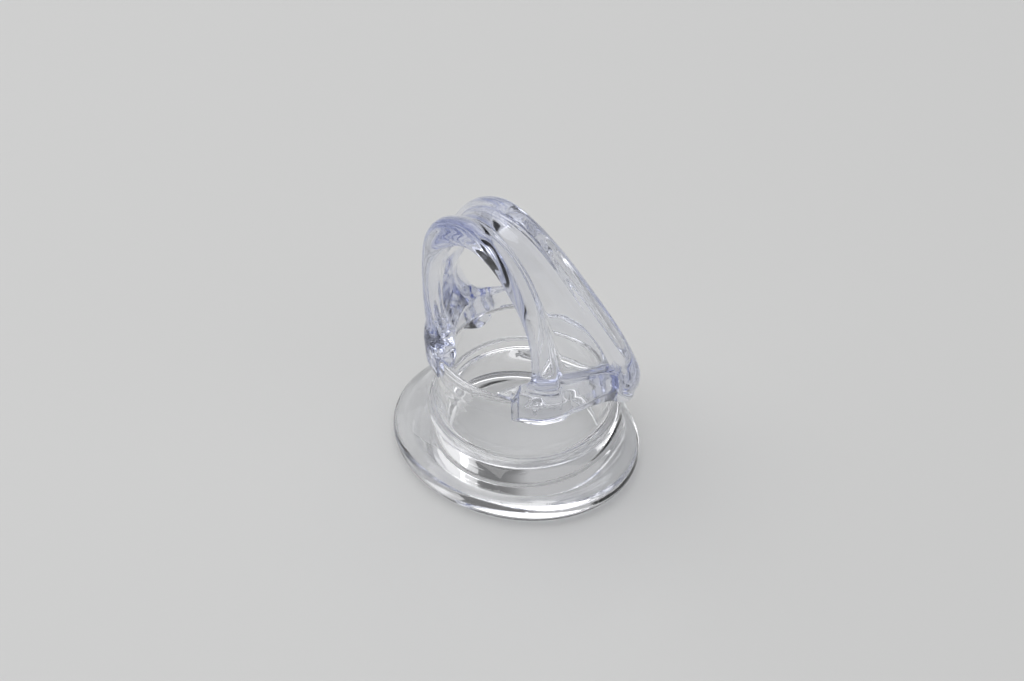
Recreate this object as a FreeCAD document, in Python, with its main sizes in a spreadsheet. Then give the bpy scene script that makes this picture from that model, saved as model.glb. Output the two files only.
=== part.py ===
# Cheek retractor of clear moulded plastic, standing on its oval flange.
#
# Millimetres, +Z up.  The origin is the middle of the flange's underside.
# X runs across the retractor, which is the same on both sides of x = 0.
# The mouth of the arch faces -Y, and the two flared lobes are at the back.
#
# Three mouldings make it: the oval flange that it rests on, the round
# collar on the flange's neck, and the retractor arch on the collar.

import FreeCAD, Part

import os
import sys

import Sketcher
from FreeCAD import Placement, Rotation, Vector


DIMENSIONS = [
    # oval flange
    ("flange_half_width", 26.5),
    ("flange_half_depth", 23.0),
    ("rim_thickness", 4.6),
    ("rim_edge_radius", 2.1),
    ("dome_start", 2.6),
    ("dome_inset", 2.4),
    ("neck_height", 8.5),
    ("neck_radius", 18.6),
    # collar
    ("axis_setback", 2.7),
    ("collar_radius", 18.0),
    ("collar_wall", 2.2),
    ("collar_top", 20.5),
    ("foot_lip_radius", 19.7),
    ("foot_lip_thickness", 1.8),
    ("sill_half_width", 9.5),
    # retractor arch
    ("ring_height", 5.0),
    ("front_plane_start", -6.2),
    ("front_lean", 8.0),
    ("front_lip_thickness", 4.4),
    ("rear_plane_start", 15.5),
    ("rear_lean", 16.5),
    ("rear_lip_thickness", 4.0),
    ("lip_edge_radius", 1.6),
    ("front_groove", 1.0),
    ("rear_groove", 0.9),
    ("mouth_scale", 0.8),
    ("crest_height", 68.0),
    ("rear_crest", 68.0),
    ("lobe_reach", 24.6),
    ("lobe_foot", 17.2),
    ("lobe_bottom", 15.0),
    ("rear_gap_start", 4.0),
    ("front_seat_end", -2.0),
    ("arch_middle", 37.4),
    ("passage_overrun", 4.0),
    ("cut_reach", 40.0),
]

# Half of the arch's front outline: (share of its half width, share of its
# height), from the crest down to the middle of the lower edge.
FRONT_HALF_WIDTH = 15.2
FRONT_SHAPE = [(0.0, 1.0), (0.47, 0.957), (0.77, 0.86), (0.92, 0.72),
               (0.99, 0.56), (1.0, 0.41), (0.95, 0.30), (0.62, 0.24), (0.0, 0.225)]

# Half of the mouth's front outline, shared out the same way.
MOUTH_HALF_WIDTH = 11.7
MOUTH_SHAPE = [(0.0, 0.885), (0.45, 0.85), (0.79, 0.755), (0.97, 0.66),
               (1.0, 0.57), (0.91, 0.46), (0.66, 0.375), (0.32, 0.32), (0.0, 0.30)]

# Half of the rear lip's outline: straight flanks that widen to the lobes,
# which curl under to the collar.
REAR_SHAPE = [(0.0, 1.0), (0.26, 0.955), (0.50, 0.86), (0.72, 0.73),
              (0.89, 0.605), (0.985, 0.49), (1.0, 0.40), (0.90, 0.305), (0.72, 0.20)]
REAR_BOTTOM = (0.0, 0.17)

# A round neck drawn as an ellipse needs one axis this much longer.
AXIS_EXCESS = 0.01

doc = FreeCAD.newDocument("cheek_retractor")
sheet = doc.addObject("Spreadsheet::Sheet", "dimensions")
for row, (name, value) in enumerate(DIMENSIONS, start=1):
    sheet.set(f"A{row}", name)
    sheet.set(f"B{row}", str(value))
    sheet.setAlias(f"B{row}", name)
doc.recompute()


def size(name):
    """A driving dimension's value."""
    return float(sheet.get(name))


def bind(thing, prop, formula):
    """Tie a property to the sheet; every word in the formula that is an alias is looked up there."""
    words = [name for name, value in DIMENSIONS if name in formula]
    for name in sorted(words, key=len, reverse=True):
        formula = formula.replace(name, "<<dimensions>>." + name)
    thing.setExpression(prop, formula)


def mirrored(half, width, height):
    """Close a half outline over x = 0, starting at the crest and going round by +X."""
    right = [Vector(x * width, y * height, 0) for x, y in half]
    left = [Vector(-point.x, point.y, 0) for point in reversed(right[1:]) if point.x > 0]
    return right + left


def scaled(points, factor, centre_height):
    """Scale an outline about its centre."""
    return [Vector(p.x * factor, centre_height + (p.y - centre_height) * factor, 0) for p in points]


def inset(points, distance, centre_height):
    """Move every point towards the outline's centre by a fixed distance."""
    centre = Vector(0, centre_height, 0)
    moved = []
    for point in points:
        reach = point - centre
        moved.append(centre + reach * (1 - distance / reach.Length))
    return moved


def outline(name, points, place):
    """A closed smooth outline in a sketch of its own."""
    curve = Part.BSplineCurve()
    steps = len(points)
    even = [step / steps for step in range(steps + 1)]
    curve.interpolate(Points=points, Parameters=even, PeriodicFlag=True)
    sketch = doc.addObject("Sketcher::SketchObject", name)
    sketch.addGeometry(curve, False)
    sketch.Placement = place
    return sketch


def ellipse(name, major, minor, height, setback="0"):
    """A level ellipse, longer along X, to loft or thicken."""
    thing = doc.addObject("Part::Ellipse", name)
    bind(thing, "MajorRadius", major)
    bind(thing, "MinorRadius", minor)
    bind(thing, "Placement.Base.z", height)
    bind(thing, "Placement.Base.y", setback)
    return thing


def loft(name, sections):
    """A smooth solid through the sections."""
    thing = doc.addObject("Part::Loft", name)
    thing.Sections = sections
    thing.Solid = True
    thing.Ruled = False
    return thing


def slab(name, sketch, forward, backward):
    """An outline thickened to both sides of its plane."""
    thing = doc.addObject("Part::Extrusion", name)
    thing.Base = sketch
    thing.DirMode = "Normal"
    thing.Solid = True
    bind(thing, "LengthFwd", forward)
    bind(thing, "LengthRev", backward)
    return thing


def rounded(name, base, radius):
    """Round every edge of a slab that is a full closed curve."""
    doc.recompute()
    thing = doc.addObject("Part::Fillet", name)
    thing.Base = base
    rims = [i for i, edge in enumerate(base.Shape.Edges, start=1) if len(edge.Vertexes) == 1]
    thing.Edges = [(i, size(radius), size(radius)) for i in rims]
    return thing


def leaning(lip, behind):
    """The plane of the front or rear lip, moved back along its normal."""
    upright = Rotation(Vector(1, 0, 0), 90)
    turn = Rotation(Vector(1, 0, 0), size(lip + "_lean")).multiply(upright)
    start = Vector(0, size(lip + "_plane_start"), 0)
    return Placement(start - turn.multVec(Vector(0, 0, behind)), turn)


def cylinder(name, radius, bottom, height):
    """An upright cylinder about the bore's axis."""
    thing = doc.addObject("Part::Cylinder", name)
    bind(thing, "Radius", radius)
    bind(thing, "Height", height)
    bind(thing, "Placement.Base.z", bottom)
    bind(thing, "Placement.Base.y", "axis_setback")
    return thing


def block(name, half_width, front, back, height):
    """A box centred on x = 0, up from the floor, to cut with."""
    thing = doc.addObject("Part::Box", name)
    bind(thing, "Length", f"2 * {half_width}")
    bind(thing, "Width", f"{back} - ({front})")
    bind(thing, "Height", height)
    bind(thing, "Placement.Base.x", f"-{half_width}")
    bind(thing, "Placement.Base.y", front)
    return thing


def fuse(name, pieces):
    """Join the pieces into one solid."""
    thing = doc.addObject("Part::MultiFuse", name)
    thing.Shapes = pieces
    return thing


def cut(name, base, tool):
    """Take the tool away from the base."""
    thing = doc.addObject("Part::Cut", name)
    thing.Base = base
    thing.Tool = tool
    return thing


def oval_flange():
    """Solid ring with a rounded rim, a top that slopes up to a round neck, and a bore through it."""
    rim_line = ellipse("rim_line", "flange_half_width", "flange_half_depth", "0")
    disc = slab("rim_disc", rim_line, "rim_thickness", "0")
    rim = rounded("rim", disc, "rim_edge_radius")
    dome_foot = ellipse("dome_foot", "flange_half_width - dome_inset",
                        "flange_half_depth - dome_inset", "dome_start")
    dome_neck = ellipse("dome_neck", f"neck_radius + {AXIS_EXCESS}", "neck_radius",
                        "neck_height", "axis_setback")
    dome = loft("dome", [dome_foot, dome_neck])
    flange_bore = cylinder("flange_bore", "collar_radius - collar_wall", "0", "neck_height")
    return cut("base_flange", fuse("flange_solid", [rim, dome]), flange_bore)


def collar():
    """Round tube with a rounded lip at its foot and a raised sill in front of the mouth."""
    body = doc.addObject("PartDesign::Body", "collar")
    bind(body, "Placement.Base.y", "axis_setback")
    side_plane = [f for f in body.Origin.OriginFeatures if f.Role == "XZ_Plane"][0]
    profile = body.newObject("Sketcher::SketchObject", "collar_profile")
    profile.AttachmentSupport = (side_plane, "")
    profile.MapMode = "FlatFace"
    inner = size("collar_radius") - size("collar_wall")
    outer = size("collar_radius")
    lip = size("foot_lip_radius")
    foot = size("neck_height")
    lip_top = foot + size("foot_lip_thickness")
    top = size("collar_top") + size("ring_height")
    bulge_radius = (lip_top - foot) / 2
    bulge_bottom = Vector(lip - bulge_radius, foot, 0)
    bulge_top = Vector(lip - bulge_radius, lip_top, 0)
    bulge_middle = Vector(lip, foot + bulge_radius, 0)
    profile.addGeometry(Part.Arc(bulge_bottom, bulge_middle, bulge_top), False)
    path = [bulge_top, Vector(outer, lip_top, 0), Vector(outer, top, 0),
            Vector(inner, top, 0), Vector(inner, foot, 0), bulge_bottom]
    for start, end in zip(path, path[1:]):
        profile.addGeometry(Part.LineSegment(start, end), False)
    last = len(path) - 1
    for line in range(1, last):
        profile.addConstraint(Sketcher.Constraint("Coincident", line, 2, line + 1, 1))
    wall = body.newObject("PartDesign::Revolution", "collar_wall_turned")
    wall.Profile = profile
    wall.ReferenceAxis = (profile, ["V_Axis"])
    wall.Angle = 360
    doc.recompute()
    level = [f for f in body.Origin.OriginFeatures if f.Role == "XY_Plane"][0]
    around = body.newObject("Sketcher::SketchObject", "around_the_sill")
    around.AttachmentSupport = (level, "")
    around.MapMode = "FlatFace"
    around.AttachmentOffset = Placement(Vector(0, 0, size("collar_top")), Rotation())
    side = size("sill_half_width")
    far = 2 * outer
    frame = [Vector(side, -far, 0), Vector(far, -far, 0), Vector(far, far, 0), Vector(-far, far, 0),
             Vector(-far, -far, 0), Vector(-side, -far, 0), Vector(-side, 0, 0), Vector(side, 0, 0)]
    for start, end in zip(frame, frame[1:] + frame[:1]):
        around.addGeometry(Part.LineSegment(start, end), False)
    sill = body.newObject("PartDesign::Pocket", "sill")
    sill.Profile = around
    sill.Type = "Length"
    sill.Reversed = True
    bind(sill, "Length", "2 * ring_height")
    body.Tip = sill
    doc.recompute()
    if sill.Shape.Volume >= wall.Shape.Volume - 1:
        sys.exit("the pocket round the sill cut nothing")
    return body


def retractor_arch():
    """Front lip, web and flared rear lip round an open mouth, on a ring that continues the collar."""
    crest = size("crest_height")
    middle = size("arch_middle")
    front_points = mirrored(FRONT_SHAPE, FRONT_HALF_WIDTH, crest)
    mouth_points = mirrored(MOUTH_SHAPE, MOUTH_HALF_WIDTH, crest)
    rear_points = mirrored(REAR_SHAPE + [REAR_BOTTOM], size("lobe_reach"), size("rear_crest"))
    front_web_points = inset(front_points, size("front_groove"), middle)
    rear_web_points = scaled(rear_points, size("rear_groove"), middle)
    mouth_rear_points = scaled(rear_points, size("mouth_scale"), middle)
    edge = size("lip_edge_radius")
    front_depth = size("front_lip_thickness")
    rear_depth = size("rear_lip_thickness")
    front_soft = inset(front_points, edge, middle)
    rear_soft = inset(rear_points, edge, middle)
    sections = [
        outline("front_face", front_soft, leaning("front", 0)),
        outline("front_bead", front_points, leaning("front", front_depth / 3)),
        outline("front_bead_back", front_web_points, leaning("front", front_depth)),
        outline("rear_bead_front", rear_web_points, leaning("rear", -rear_depth)),
        outline("rear_bead", rear_points, leaning("rear", 0)),
        outline("rear_face", rear_soft, leaning("rear", rear_depth / 2)),
    ]
    channel = loft("channel", sections)
    channel.Ruled = True
    ring = cylinder("ring", "collar_radius", "collar_top", "ring_height")
    beyond = size("passage_overrun")
    mouth_front = outline("mouth_front", mouth_points, leaning("front", -beyond))
    mouth_rear = outline("mouth_rear", mouth_rear_points, leaning("rear", beyond))
    passage = loft("passage", [mouth_front, mouth_rear])
    solid = fuse("arch_solid", [cut("open_channel", channel, passage), ring])
    bore = cylinder("bore", "collar_radius - collar_wall", "0", "collar_top + ring_height")
    seat = cylinder("seat", "collar_radius", "0", "collar_top")
    gaps = [
        block("front_gap", "cut_reach", "-cut_reach", "front_seat_end", "collar_top"),
        block("sill_gap", "sill_half_width", "-cut_reach", "axis_setback", "collar_top + ring_height"),
        block("rear_gap", "lobe_foot", "rear_gap_start", "cut_reach", "collar_top"),
        block("gap_below_lobes", "cut_reach", "-cut_reach", "cut_reach", "lobe_bottom"),
    ]
    return cut("retractor_arch", solid, fuse("arch_hollows", [bore, seat] + gaps))


nodes = {
    "base_flange": oval_flange(),
    "collar": collar(),
    "retractor_arch": retractor_arch(),
}
doc.recompute()

for thing in doc.Objects:
    if "Invalid" in thing.State or "Error" in thing.State:
        sys.exit(f"{thing.Name} did not build: {thing.State}")

os.makedirs("parts", exist_ok=True)
for name, thing in nodes.items():
    thing.Label = name
    shape = thing.Shape
    if shape.isNull() or not shape.isValid():
        sys.exit(f"{name} has no valid shape")
    box = shape.optimalBoundingBox()
    print(f"{name}: {len(shape.Solids)} solid, {shape.Volume / 1000:.2f} cm3,",
          f"x {box.XMin:.1f}..{box.XMax:.1f}  y {box.YMin:.1f}..{box.YMax:.1f} ",
          f"z {box.ZMin:.1f}..{box.ZMax:.1f}")
    shape.exportStep(f"parts/{name}.step")
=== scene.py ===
# Cheek retractor of clear moulded plastic: the visual model, the floor, the lights and the camera.
# Shapes are worked out in millimetres in the row frame and turned into metres when a mesh is made.

import math

import bpy
import numpy as np
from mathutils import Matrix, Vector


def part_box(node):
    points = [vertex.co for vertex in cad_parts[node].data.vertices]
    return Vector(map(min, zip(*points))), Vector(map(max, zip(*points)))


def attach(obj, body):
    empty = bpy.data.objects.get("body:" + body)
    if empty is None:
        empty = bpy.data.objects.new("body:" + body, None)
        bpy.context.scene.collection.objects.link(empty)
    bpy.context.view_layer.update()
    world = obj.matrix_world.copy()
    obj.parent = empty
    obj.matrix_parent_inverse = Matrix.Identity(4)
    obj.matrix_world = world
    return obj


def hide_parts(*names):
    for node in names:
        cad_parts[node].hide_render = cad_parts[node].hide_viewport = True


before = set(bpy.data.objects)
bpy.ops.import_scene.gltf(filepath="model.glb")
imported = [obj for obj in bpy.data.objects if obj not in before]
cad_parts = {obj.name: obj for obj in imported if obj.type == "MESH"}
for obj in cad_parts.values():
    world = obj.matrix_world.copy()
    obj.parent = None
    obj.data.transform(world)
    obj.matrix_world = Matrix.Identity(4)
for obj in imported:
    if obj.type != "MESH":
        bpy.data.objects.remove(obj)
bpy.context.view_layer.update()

import openvdb
from mathutils import Vector

MM = 0.001


def node_box(node):
    """A CAD node's box in millimetres."""
    low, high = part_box(node)
    return [c / MM for c in low], [c / MM for c in high]


FLANGE_LOW, FLANGE_HIGH = node_box("base_flange")
COLLAR_LOW, COLLAR_HIGH = node_box("collar")
ARCH_LOW, ARCH_HIGH = node_box("retractor_arch")

# Flange: the rim's bead, the shoulder just inside it, and the swell from there up to the neck
HALF_WIDTH = FLANGE_HIGH[0]
HALF_DEPTH = FLANGE_HIGH[1]
NECK_TOP = FLANGE_HIGH[2]
RIM_RADIUS = 2.3
SHOULDER = 4.55
EARLY_SWELL, LATE_SWELL, LATE_POWER = 0.35, 0.65, 1.3
LEAST_RUN = 0.3
BORE_SETBACK = (COLLAR_LOW[1] + COLLAR_HIGH[1]) / 2
TOP_SLANT = 0.85
# Collar: a tube, the lip at its foot, and the sill that rises in front to the ring's top
LIP_RADIUS = (COLLAR_HIGH[0] - COLLAR_LOW[0]) / 2
LIP_BEAD = 0.95
TUBE_RADIUS = LIP_RADIUS - 1.7
BORE_RADIUS = TUBE_RADIUS - 2.2
NECK_RADIUS = TUBE_RADIUS + 0.6
RING_TOP = COLLAR_HIGH[2]
COLLAR_TOP = RING_TOP - 5.0
SILL_HALF = 9.5
SILL_ROOT = COLLAR_TOP - 2.0
SEAM = -0.04
# Arch: the planes of its front and rear lips, which lean towards -Y from these places at z = 0
FRONT_START, FRONT_LEAN = -6.2, math.radians(8.0)
REAR_START, REAR_LEAN = 15.5, math.radians(16.5)
LEAST_WIDTH, OVERRUN = 1.0, 0.3
CREST = 68.0
CREST_CUT = CREST - 0.2
MIDDLE = 0.55 * CREST
FRONT_HALF = 15.2
MOUTH_HALF = 11.7
LOBE_REACH = ARCH_HIGH[0] - 0.1
# Channel between the lips: where it starts behind the front plane, how fast it falls, and its depth
GROOVE_START, GROOVE_RUN = 2.6, 3.0
GROOVE_PER_WIDTH, LEAST_GROOVE = 0.11, 0.9
FRONT_GROOVE, REAR_GROOVE = 3.0, 1.3
# Passage: its share of the rear outline, thinner walls at the sides than over the crest
REAR_MOUTH, THIN_SIDES = 0.76, 0.09
SIDES_FROM, SIDES_TURN = math.radians(60), math.radians(60)
REAR_BEAD = 1.9
# Lobes: they hang below the collar's top from LOBES_FROM backwards, and their feet stop at LOBE_FOOT. Inside
# that, behind FEET_GAP_FROM, nothing of the lips is below the collar's top.
LOBE_FOOT = 17.2
LOBE_DROP = 5.5
LOBES_FROM, LOBE_FALL, UNDERSIDE_TURN = -7.0, 15.0, 10.0
FEET_GAP_FROM = 4.0
UNDERSIDE_SLANT = 0.9

# Roundings: the widths over which surfaces are blended where they meet
CREASE, REST_EDGE, EDGE, NOTCH_EDGE, TUBE_EDGE, SOFT_EDGE = 0.2, 0.25, 0.3, 0.4, 0.5, 0.8
RING_EDGE, SILL_EDGE, WALL_EDGE, BORE_EDGE = 1.2, 1.4, 1.6, 2.0
LIP_BLEND, BEAD_BLEND, RING_BLEND = 1.6, 2.0, 6.0
BORE_MOUTH_ROUNDING, FRONT_LIP_ROUNDING, UNDERSIDE_SOFTER = 2.6, 3.0, 1.8

# Studio: grey levels of the room, and the stretches of its direction over which they change
ROOM_GREY, NEAR_GREY, DARK_GREY = 0.56, 0.20, 0.003
FAR_Y = (0.40, 0.50)
LOW_Z = (0.64, 0.52)
HORIZON_Z = (0.05, 0.12)
NEAR_Y = (-0.45, -0.70)
FLOOR_REACH = 3.0
FLOOR_DROP = 0.00002
# Each softbox: name, place, target, width, height and power, in metres and watts
SOFTBOXES = [
    ("softbox_top", (-0.30, 0.05, 1.3), (0, 0, 0), 2.0, 1.15, 12.4),
    ("softbox_left", (-1.2, -0.5, 0.8), (0, 0, 0.03), 1.8, 1.4, 3.6),
]

# Camera: its direction from the origin, its distance, and its shift up and to the left in metres
CAMERA_AZIMUTH, CAMERA_ELEVATION = math.radians(40.0), math.radians(42.0)
CAMERA_DISTANCE = 0.58
CAMERA_UP, CAMERA_LEFT = 0.0204, 0.0008
CAMERA_LENS = 99.5

# Mesh: the grid's step, coarse and fine, its margin, and how points are moved onto the surface
COARSE_STEP, FINE_STEP = 0.5, 0.35
PAD_STEPS, OUTSIDE_VALUE = 3, 100.0
SURFACE_MOVES, LONGEST_MOVE = 3, 0.2
PROBE, LEAST_SLOPE, TINY = 0.02, 0.05, 1e-9
# Outline curves: steps between two points, angles in the table, and how often it is smoothed
CURVE_STEPS, CURVE_ANGLES, CURVE_SMOOTHINGS = 24, 721, 30

# Half outlines in their own leaning planes, from the crest to the middle of the lower edge:
# (share of the half width, share of the height).
FRONT_SHAPE = [(0.0, 1.0), (0.47, 0.957), (0.77, 0.86), (0.92, 0.72),
               (0.99, 0.56), (1.0, 0.41), (0.95, 0.30), (0.62, 0.24), (0.0, 0.225)]
MOUTH_SHAPE = [(0.0, 0.885), (0.45, 0.85), (0.79, 0.755), (0.97, 0.66),
               (1.0, 0.57), (0.91, 0.46), (0.66, 0.375), (0.32, 0.32), (0.0, 0.30)]
REAR_SHAPE = [(0.0, 1.0), (0.26, 0.955), (0.50, 0.86), (0.72, 0.73),
              (0.89, 0.605), (0.985, 0.49), (1.0, 0.40), (0.90, 0.305), (0.72, 0.20), (0.0, 0.17)]


def smooth_max(first, second, width):
    """The larger of two fields, blended over a width where they are close."""
    share = np.clip(0.5 - 0.5 * (second - first) / width, 0.0, 1.0)
    return second + (first - second) * share + width * share * (1.0 - share)


def smooth_min(first, second, width):
    """The smaller of two fields, blended over a width where they are close."""
    return -smooth_max(-first, -second, width)


def ease(part):
    """Rises smoothly from 0 to 1 as the part does."""
    part = np.clip(part, 0.0, 1.0)
    return part * part * (3.0 - 2.0 * part)


def polar_radius(shape, half_width, height):
    """The outline as a radius for each angle from straight up, about the arch's middle."""
    right = [(x * half_width, y * height - MIDDLE) for x, y in shape]
    left = [(-x, y) for x, y in reversed(right) if x > 0]
    loop = np.array(right + left)
    before, after, later = np.roll(loop, 1, 0), np.roll(loop, -1, 0), np.roll(loop, -2, 0)
    # A smooth curve through the points, by Catmull and Rom's formula
    dense = []
    for t in np.linspace(0.0, 1.0, CURVE_STEPS, endpoint=False):
        dense.append(0.5 * (2 * loop + (after - before) * t
                            + (2 * before - 5 * loop + 4 * after - later) * t ** 2
                            + (3 * loop - before - 3 * after + later) * t ** 3))
    points = np.array(dense).transpose(1, 0, 2).reshape(-1, 2)
    angle = np.arctan2(points[:, 0], points[:, 1])
    radius = np.hypot(points[:, 0], points[:, 1])
    order = np.argsort(angle)
    even = np.linspace(-math.pi, math.pi, CURVE_ANGLES)
    table = np.interp(even, angle[order], radius[order], period=2 * math.pi)
    for _ in range(CURVE_SMOOTHINGS):
        table[:-1] = (np.roll(table[:-1], 1) + 2 * table[:-1] + np.roll(table[:-1], -1)) / 4
        table[-1] = table[0]
    return lambda at: np.interp(at, even, table)


FRONT_OUTLINE = polar_radius(FRONT_SHAPE, FRONT_HALF, CREST)
MOUTH_OUTLINE = polar_radius(MOUTH_SHAPE, MOUTH_HALF, CREST)
REAR_OUTLINE = polar_radius(REAR_SHAPE, LOBE_REACH, CREST)


def ellipse_inset(x, y, half_width, half_depth):
    """About how far inside an ellipse a point lies."""
    size = np.sqrt((x / half_width) ** 2 + (y / half_depth) ** 2) + TINY
    slope = np.sqrt((x / half_width ** 2) ** 2 + (y / half_depth ** 2) ** 2) + TINY
    return -size * (size - 1.0) / slope


def from_axis(x, y):
    """How far a point lies from the axis of the bore."""
    return np.hypot(x, y - BORE_SETBACK)


def flange_field(x, y, z):
    """Solid ring with a rounded rim and a top that swells up to the neck."""
    inset = ellipse_inset(x, y, HALF_WIDTH, HALF_DEPTH)
    bead = np.hypot(inset - RIM_RADIUS, z - RIM_RADIUS) - RIM_RADIUS
    radius = from_axis(x, y)
    run = np.maximum(radius + inset - RIM_RADIUS - NECK_RADIUS, LEAST_RUN)
    rise = np.clip((inset - RIM_RADIUS) / run, 0.0, 1.0)
    swell = EARLY_SWELL * np.sin(rise * math.pi / 2) + LATE_SWELL * rise ** LATE_POWER
    top = SHOULDER + (NECK_TOP - SHOULDER) * swell
    disc = smooth_max((z - top) * TOP_SLANT, RIM_RADIUS - inset, EDGE)
    solid = smooth_min(bead, disc, SOFT_EDGE)
    solid = smooth_max(solid, BORE_RADIUS - radius, BORE_MOUTH_ROUNDING)
    solid = smooth_max(solid, z - NECK_TOP, EDGE)
    return smooth_max(solid, -z, REST_EDGE)


def sill_field(x, y, z):
    """The part of the top ring that the collar carries in front, as a solid block to cut with."""
    across = smooth_max(np.abs(x) - SILL_HALF, y - BORE_SETBACK, CREASE)
    return smooth_max(across, SILL_ROOT - z, CREASE)


def tube_field(radius, z, low, high, rounding):
    """The collar's tube between two heights."""
    wall = np.abs(radius - (TUBE_RADIUS + BORE_RADIUS) / 2) - (TUBE_RADIUS - BORE_RADIUS) / 2
    return smooth_max(wall, np.abs(z - (low + high) / 2) - (high - low) / 2, rounding)


def collar_field(x, y, z):
    """Tube with a rounded lip at its foot and a raised sill in front."""
    radius = from_axis(x, y)
    low = NECK_TOP + SEAM
    tube = tube_field(radius, z, low, COLLAR_TOP, TUBE_EDGE)
    lip = np.hypot(radius - (LIP_RADIUS - LIP_BEAD), z - (low + LIP_BEAD)) - LIP_BEAD
    raised = tube_field(radius, z, SILL_ROOT, RING_TOP, SILL_EDGE)
    sill = smooth_max(raised, sill_field(x, y, z) + SEAM, CREASE)
    return smooth_min(smooth_min(tube, sill, EDGE), lip, LIP_BLEND)


def lips_field(x, y, z):
    """Front lip, channel and flared rear lip round the mouth, from the front plane to the rear one."""
    behind_front = (y - FRONT_START) * math.cos(FRONT_LEAN) + z * math.sin(FRONT_LEAN)
    before_rear = (REAR_START - y) * math.cos(REAR_LEAN) - z * math.sin(REAR_LEAN)
    up_front = z * math.cos(FRONT_LEAN) - (y - FRONT_START) * math.sin(FRONT_LEAN)
    up_rear = z * math.cos(REAR_LEAN) - (y - REAR_START) * math.sin(REAR_LEAN)
    wide = np.maximum(behind_front + before_rear, LEAST_WIDTH)
    way = np.clip(behind_front / wide, -OVERRUN, 1.0 + OVERRUN)
    up = (1.0 - way) * up_front + way * up_rear - MIDDLE
    reach = np.hypot(x, up)
    angle = np.arctan2(x, up)
    share = np.clip(way, 0.0, 1.0)
    front, mouth, rear = FRONT_OUTLINE(angle), MOUTH_OUTLINE(angle), REAR_OUTLINE(angle)
    plain = (1.0 - share) * front + share * rear
    front_groove = np.minimum(GROOVE_PER_WIDTH * wide + LEAST_GROOVE, FRONT_GROOVE)
    depth = (1.0 - share ** 2) * front_groove + share ** 2 * REAR_GROOVE
    groove = ease((behind_front - GROOVE_START) / GROOVE_RUN) * depth
    at_sides = ease((np.abs(angle) - SIDES_FROM) / SIDES_TURN)
    inner = (1.0 - share) * mouth + share * (REAR_MOUTH + THIN_SIDES * at_sides) * rear
    skin = smooth_max(reach - plain + groove, inner - reach, WALL_EDGE)
    skin = smooth_max(skin, -behind_front, FRONT_LIP_ROUNDING)
    skin = smooth_max(skin, -before_rear, SOFT_EDGE)
    rear_bead = np.hypot(reach - rear + REAR_BEAD, before_rear) - REAR_BEAD
    return smooth_min(skin, rear_bead, BEAD_BLEND)


def arch_field(x, y, z):
    """The lips on the ring above the collar, cut clear of the bore, the collar and the sill."""
    between_feet = smooth_min(LOBE_FOOT - np.abs(x), y - FEET_GAP_FROM, NOTCH_EDGE)
    notch = smooth_min(between_feet, COLLAR_TOP - z, NOTCH_EDGE)
    skin = smooth_max(lips_field(x, y, z), notch, SOFT_EDGE)
    radius = from_axis(x, y)
    ring = tube_field(radius, z, COLLAR_TOP, RING_TOP, RING_EDGE)
    solid = smooth_min(skin, ring, RING_BLEND)
    bore = smooth_min(BORE_RADIUS - radius, RING_TOP - z, BORE_EDGE)
    solid = smooth_max(solid, bore, RING_EDGE)
    seat = smooth_min(TUBE_RADIUS + SEAM - radius, COLLAR_TOP + SEAM - z, EDGE)
    solid = smooth_max(solid, seat, EDGE)
    drop = LOBE_DROP * ease((y - LOBES_FROM) / LOBE_FALL)
    underside = (COLLAR_TOP + SEAM - drop - z) * UNDERSIDE_SLANT
    softer = UNDERSIDE_SOFTER * ease((y - LOBES_FROM) / UNDERSIDE_TURN)
    solid = smooth_max(solid, underside, NOTCH_EDGE + softer)
    sill_cut = smooth_min(SEAM - sill_field(x, y, z), RING_TOP + EDGE - z, CREASE)
    solid = smooth_max(solid, sill_cut, CREASE)
    return smooth_max(solid, z - CREST_CUT, SOFT_EDGE)


def skin_mesh(name, field, low, high, step):
    """A mesh on the zero surface of a field, with its points moved exactly onto it."""
    pad = PAD_STEPS * step
    axes = [np.arange(low[i] - pad, high[i] + pad, step) for i in range(3)]
    grid_x, grid_y, grid_z = np.meshgrid(*axes, indexing="ij")
    values = field(grid_x, grid_y, grid_z).astype(np.float32)
    grid = openvdb.FloatGrid(OUTSIDE_VALUE)
    grid.copyFromArray(values)
    grid_points, quads = grid.convertToQuads(isovalue=0.0)
    points = grid_points.astype(np.float64) * step + [axis[0] for axis in axes]
    for _ in range(SURFACE_MOVES):
        points = points - step_to_surface(field, points)
    mesh = bpy.data.meshes.new(name)
    mesh.from_pydata((points * MM).tolist(), [], quads.tolist())
    mesh.validate()
    mesh.shade_smooth()
    piece = bpy.data.objects.new(name, mesh)
    bpy.context.scene.collection.objects.link(piece)
    return piece


def step_to_surface(field, points):
    """The move that takes each point onto the field's zero surface."""
    x, y, z = points.T
    value = field(x, y, z)
    slope = np.stack([field(x + PROBE, y, z) - field(x - PROBE, y, z),
                      field(x, y + PROBE, z) - field(x, y - PROBE, z),
                      field(x, y, z + PROBE) - field(x, y, z - PROBE)], 1) / (2 * PROBE)
    size = (slope ** 2).sum(1, keepdims=True)
    move = slope * value[:, None] / np.maximum(size, LEAST_SLOPE)
    return np.clip(move, -LONGEST_MOVE, LONGEST_MOVE)


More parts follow.
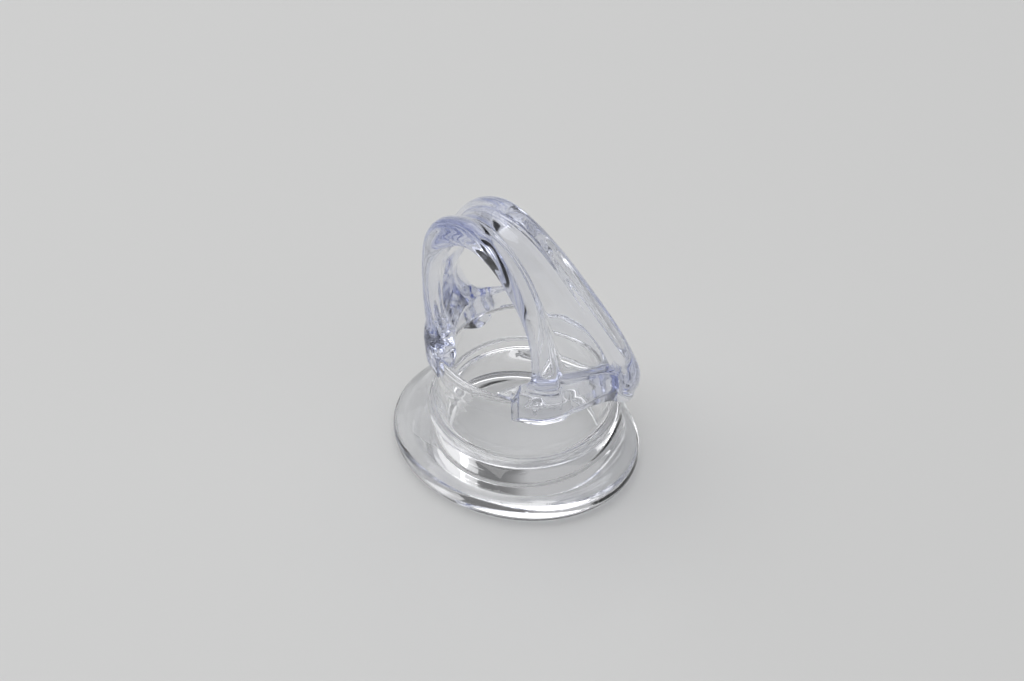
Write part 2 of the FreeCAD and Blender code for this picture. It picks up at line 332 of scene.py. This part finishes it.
def clear_plastic(name, tint, strength):
    """Clear polished plastic: a tint that grows with thickness, faint flow marks and a few fine scratches."""
    material = bpy.data.materials.new(name)
    material.use_nodes = True
    nodes, links = material.node_tree.nodes, material.node_tree.links
    shader = nodes["Principled BSDF"]
    shader.inputs["Base Color"].default_value = (0.985, 0.988, 0.992, 1.0)
    shader.inputs["Transmission Weight"].default_value = 1.0
    shader.inputs["IOR"].default_value = 1.57
    shader.inputs["Roughness"].default_value = 0.015
    where = nodes.new("ShaderNodeTexCoord")
    flow = nodes.new("ShaderNodeTexNoise")
    flow.inputs["Scale"].default_value = 90.0
    flow.inputs["Detail"].default_value = 2.0
    links.new(where.outputs["Object"], flow.inputs["Vector"])
    turned = nodes.new("ShaderNodeMapping")
    turned.inputs["Rotation"].default_value = (0.5, 0.9, 0.4)
    turned.inputs["Scale"].default_value = (40.0, 900.0, 900.0)
    links.new(where.outputs["Object"], turned.inputs["Vector"])
    streaks = nodes.new("ShaderNodeTexNoise")
    streaks.inputs["Scale"].default_value = 1.0
    streaks.inputs["Detail"].default_value = 1.0
    links.new(turned.outputs["Vector"], streaks.inputs["Vector"])
    scratch = nodes.new("ShaderNodeMapRange")
    scratch.inputs["From Min"].default_value = 0.70
    scratch.inputs["From Max"].default_value = 0.76
    links.new(streaks.outputs["Fac"], scratch.inputs["Value"])
    flow_bump = nodes.new("ShaderNodeBump")
    flow_bump.inputs["Strength"].default_value = 0.05
    flow_bump.inputs["Distance"].default_value = 0.0004
    links.new(flow.outputs["Fac"], flow_bump.inputs["Height"])
    bump = nodes.new("ShaderNodeBump")
    bump.invert = True
    bump.inputs["Strength"].default_value = 0.25
    bump.inputs["Distance"].default_value = 0.00003
    links.new(scratch.outputs["Result"], bump.inputs["Height"])
    links.new(flow_bump.outputs["Normal"], bump.inputs["Normal"])
    links.new(bump.outputs["Normal"], shader.inputs["Normal"])
    light_path = nodes.new("ShaderNodeLightPath")
    see_through = nodes.new("ShaderNodeBsdfTransparent")
    see_through.inputs["Color"].default_value = (0.80, 0.805, 0.81, 1.0)
    mix = nodes.new("ShaderNodeMixShader")
    links.new(light_path.outputs["Is Shadow Ray"], mix.inputs["Fac"])
    links.new(shader.outputs["BSDF"], mix.inputs[1])
    links.new(see_through.outputs["BSDF"], mix.inputs[2])
    links.new(mix.outputs["Shader"], nodes["Material Output"].inputs["Surface"])
    inside = nodes.new("ShaderNodeVolumeAbsorption")
    inside.inputs["Color"].default_value = (*tint, 1.0)
    inside.inputs["Density"].default_value = strength
    links.new(inside.outputs["Volume"], nodes["Material Output"].inputs["Volume"])
    return material


def plain_surface(name, colour, roughness):
    """A plain opaque surface."""
    material = bpy.data.materials.new(name)
    material.use_nodes = True
    shader = material.node_tree.nodes["Principled BSDF"]
    shader.inputs["Base Color"].default_value = (*colour, 1.0)
    shader.inputs["Roughness"].default_value = roughness
    return material


def make_camera():
    """The camera, with its direction worked out from an azimuth and an elevation."""
    flat = math.cos(CAMERA_ELEVATION)
    toward = Vector((math.sin(CAMERA_AZIMUTH) * flat, -math.cos(CAMERA_AZIMUTH) * flat,
                     math.sin(CAMERA_ELEVATION)))
    side = Vector((math.cos(CAMERA_AZIMUTH), math.sin(CAMERA_AZIMUTH), 0.0))
    up = toward.cross(side)
    camera = bpy.data.objects.new("camera", bpy.data.cameras.new("camera"))
    camera.data.sensor_width = 36.0
    camera.data.lens = CAMERA_LENS
    camera.data.clip_start = 0.01
    camera.data.clip_end = 20.0
    camera.location = toward * CAMERA_DISTANCE + up * CAMERA_UP - side * CAMERA_LEFT
    camera.rotation_mode = "QUATERNION"
    camera.rotation_quaternion = (-toward).to_track_quat("-Z", "Y")
    bpy.context.scene.collection.objects.link(camera)
    bpy.context.scene.camera = camera


def soft_light(name, place, target, width, height, power):
    """A rectangular softbox that faces its target."""
    light = bpy.data.lights.new(name, "AREA")
    light.shape = "RECTANGLE"
    light.size = width
    light.size_y = height
    light.energy = power
    lamp = bpy.data.objects.new(name, light)
    lamp.location = place
    lamp.rotation_mode = "QUATERNION"
    lamp.rotation_quaternion = (Vector(target) - Vector(place)).to_track_quat("-Z", "Y")
    bpy.context.scene.collection.objects.link(lamp)


def make_stage():
    """The floor, the room and the softboxes."""
    scene = bpy.context.scene
    floor_mesh = bpy.data.meshes.new("floor")
    corners = [(-1, -1), (1, -1), (1, 1), (-1, 1)]
    floor_mesh.from_pydata([(x * FLOOR_REACH, y * FLOOR_REACH, 0) for x, y in corners], [], [(0, 1, 2, 3)])
    floor = bpy.data.objects.new("floor", floor_mesh)
    floor.location.z = -FLOOR_DROP
    scene.collection.objects.link(floor)
    floor_mesh.materials.append(plain_surface("pale_floor", (0.62, 0.62, 0.615), 0.6))
    scene.world = studio_world()
    for softbox in SOFTBOXES:
        soft_light(*softbox)


def studio_world():
    """Pale grey room, dimmer towards -Y and dark low down towards +Y."""
    world = bpy.data.worlds.new("studio")
    world.use_nodes = True
    nodes, links = world.node_tree.nodes, world.node_tree.links
    where = nodes.new("ShaderNodeTexCoord")
    parts = nodes.new("ShaderNodeSeparateXYZ")
    links.new(where.outputs["Generated"], parts.inputs["Vector"])
    far = soft_step(nodes, links, parts.outputs["Y"], *FAR_Y)
    low = soft_step(nodes, links, parts.outputs["Z"], *LOW_Z)
    above_horizon = soft_step(nodes, links, parts.outputs["Z"], *HORIZON_Z)
    dark = product(nodes, links, product(nodes, links, far, low), above_horizon)
    near = soft_step(nodes, links, parts.outputs["Y"], *NEAR_Y)
    room = nodes.new("ShaderNodeMapRange")
    room.inputs["To Min"].default_value = ROOM_GREY
    room.inputs["To Max"].default_value = NEAR_GREY
    links.new(near, room.inputs["Value"])
    level = nodes.new("ShaderNodeMapRange")
    links.new(room.outputs["Result"], level.inputs["To Min"])
    level.inputs["To Max"].default_value = DARK_GREY
    links.new(dark, level.inputs["Value"])
    links.new(level.outputs["Result"], nodes["Background"].inputs["Strength"])
    nodes["Background"].inputs["Color"].default_value = (0.985, 0.99, 1.0, 1.0)
    return world


def product(nodes, links, first, second):
    """The product of two sockets."""
    times = nodes.new("ShaderNodeMath")
    times.operation = "MULTIPLY"
    links.new(first, times.inputs[0])
    links.new(second, times.inputs[1])
    return times.outputs["Value"]


def soft_step(nodes, links, value, none, full):
    """Rises smoothly from 0 to 1 as the value goes from none to full."""
    step = nodes.new("ShaderNodeMapRange")
    step.interpolation_type = "SMOOTHSTEP"
    step.inputs["From Min"].default_value = min(none, full)
    step.inputs["From Max"].default_value = max(none, full)
    step.inputs["To Min"].default_value = 0.0 if none < full else 1.0
    step.inputs["To Max"].default_value = 1.0 if none < full else 0.0
    links.new(value, step.inputs["Value"])
    return step.outputs["Result"]


def make_settings():
    """Plain colours, and enough bounces for light that is totally reflected inside the plastic."""
    scene = bpy.context.scene
    scene.view_settings.view_transform = "Standard"
    scene.view_settings.look = "None"
    scene.cycles.max_bounces = 40
    scene.cycles.glossy_bounces = 40
    scene.cycles.transmission_bounces = 40
    scene.cycles.transparent_max_bounces = 40
    scene.cycles.caustics_refractive = True
    scene.cycles.caustics_reflective = True


def make_object():
    """One piece for each CAD node."""
    step = FINE_STEP
    clear = clear_plastic("clear_plastic", (0.86, 0.86, 0.87), 60.0)
    bluish = clear_plastic("blue_clear_plastic", (0.62, 0.67, 0.88), 38.0)
    plan = [
        ("flange_skin", "base_flange", flange_field, FLANGE_LOW, FLANGE_HIGH, clear, "clear_plastic"),
        ("collar_skin", "collar", collar_field, COLLAR_LOW, COLLAR_HIGH, clear, "clear_plastic"),
        ("arch_skin", "retractor_arch", arch_field, ARCH_LOW, ARCH_HIGH, bluish, "blue_clear_plastic"),
    ]
    for name, node, field, low, high, material, slot in plan:
        piece = skin_mesh(name, field, low, high, step)
        piece.data.materials.append(material)
        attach(piece, "root")
        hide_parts(node)


make_camera()
make_stage()
make_settings()
make_object()
